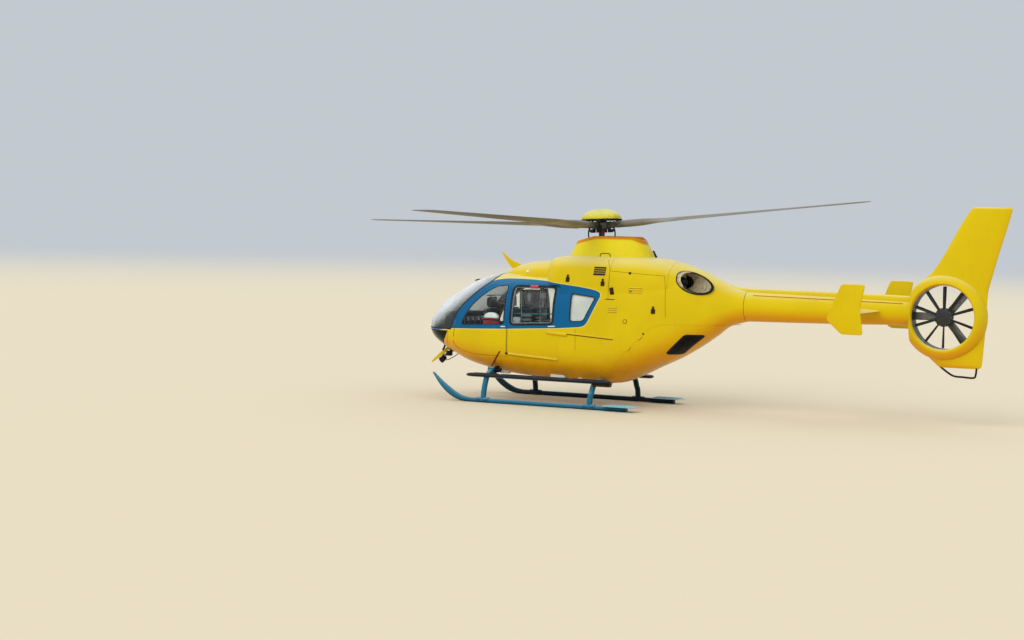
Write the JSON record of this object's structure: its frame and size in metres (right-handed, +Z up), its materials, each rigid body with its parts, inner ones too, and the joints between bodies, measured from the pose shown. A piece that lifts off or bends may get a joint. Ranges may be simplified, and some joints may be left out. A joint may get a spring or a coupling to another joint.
{
  "type": "light twin-engine helicopter",
  "caption": "Light rescue helicopter with a teardrop cabin, skids, a four-blade main rotor and a shrouded tail rotor in its fin; rotors turn and doors swing.",
  "frame": {"origin": "centre of the bounding box on the ground under the skids, halfway between the front blade's tip and the tail", "axes": "+X towards the nose, +Y to port, +Z up"},
  "size_m": [12.078, 10.0478, 3.5742],
  "materials": {
    "yellow_paint": "gloss paint over composite skin",
    "wire_cutter_paint": "gloss paint",
    "blue_paint": "gloss paint over aluminium tube",
    "window": "clear acrylic",
    "dark_window": "dark acrylic",
    "engine_metal": "bare casting",
    "exhaust_metal": "heat-tinted steel",
    "rotor_metal": "dark paint",
    "rotor_blade": "matt paint over composite",
    "fan_black": "satin",
    "cabin_trim": "matt"
  },
  "bodies": {
    "airframe": {"fuselage_shell": "yellow_paint", "left_sliding_door": "yellow_paint", "right_sliding_door": "yellow_paint", "roof_fairing": "yellow_paint", "gearbox_cowling": "yellow_paint", "left_engine_cowling": "yellow_paint", "right_engine_cowling": "yellow_paint", "rear_cowling": "yellow_paint", "mast_pylon": "yellow_paint", "tail_boom": "yellow_paint", "drive_shaft_cover": "yellow_paint", "tail_fin": "yellow_paint", "tailplane": "yellow_paint", "left_end_plate": "yellow_paint", "right_end_plate": "yellow_paint", "upper_wire_cutter": "wire_cutter_paint", "lower_wire_cutter": "wire_cutter_paint", "left_skid": "blue_paint", "right_skid": "blue_paint", "left_boarding_step": "blue_paint", "right_boarding_step": "blue_paint", "front_cross_tube": "blue_paint", "rear_cross_tube": "blue_paint", "tail_bumper": "blue_paint", "left_windshield": "window", "right_windshield": "window", "left_sliding_door_window": "window", "right_sliding_door_window": "window", "left_rear_side_window": "window", "right_rear_side_window": "window", "left_chin_window": "dark_window", "right_chin_window": "dark_window", "main_gearbox": "engine_metal", "left_engine": "engine_metal", "right_engine": "engine_metal", "left_exhaust": "exhaust_metal", "right_exhaust": "exhaust_metal", "tail_rotor_support": "fan_black", "cabin_floor": "cabin_trim", "instrument_console": "cabin_trim", "left_pilot_seat": "cabin_trim", "right_pilot_seat": "cabin_trim", "attendant_seat": "cabin_trim", "stretcher": "cabin_trim"},
    "main_rotor": {"rotor_hub": "rotor_metal", "hub_cap": "yellow_paint", "rotor_mast": "rotor_metal", "rotor_blade_1": "rotor_blade", "rotor_blade_2": "rotor_blade", "rotor_blade_3": "rotor_blade", "rotor_blade_4": "rotor_blade"},
    "tail_fan": {"tail_rotor": "fan_black"},
    "left_front_door": {"left_front_door": "yellow_paint", "left_front_door_window": "window"},
    "right_front_door": {"right_front_door": "yellow_paint", "right_front_door_window": "window"},
    "left_clamshell": {"left_clamshell_door": "yellow_paint", "left_clamshell_window": "dark_window"},
    "right_clamshell": {"right_clamshell_door": "yellow_paint", "right_clamshell_window": "dark_window"}
  },
  "joints": [
    {"name": "main_rotor_spin", "type": "hinge", "parent": "airframe", "child": "main_rotor", "pos_m": [1.009, 0, 3.06], "axis": [0.0523, 0, 0.9986], "continuous": true},
    {"name": "tail_fan_spin", "type": "hinge", "parent": "airframe", "child": "tail_fan", "pos_m": [-5.011, 0.045, 1.76], "axis": [0, 1, 0], "continuous": true},
    {"name": "left_front_door_hinge", "type": "hinge", "parent": "airframe", "child": "left_front_door", "pos_m": [3.447, 0.68017, 1.18], "axis": [0.1047, -0.0251, -0.9942], "range_deg": [0, 75]},
    {"name": "right_front_door_hinge", "type": "hinge", "parent": "airframe", "child": "right_front_door", "pos_m": [3.447, -0.68017, 1.18], "axis": [-0.1047, -0.0251, 0.9942], "range_deg": [0, 75]},
    {"name": "left_clamshell_hinge", "type": "hinge", "parent": "airframe", "child": "left_clamshell", "pos_m": [0.04, 0.71071, 1.125], "axis": [0.7028, 0.1099, -0.7028], "range_deg": [0, 75]},
    {"name": "right_clamshell_hinge", "type": "hinge", "parent": "airframe", "child": "right_clamshell", "pos_m": [0.04, -0.71071, 1.125], "axis": [-0.7028, 0.1099, 0.7028], "range_deg": [0, 75]}
  ]
}
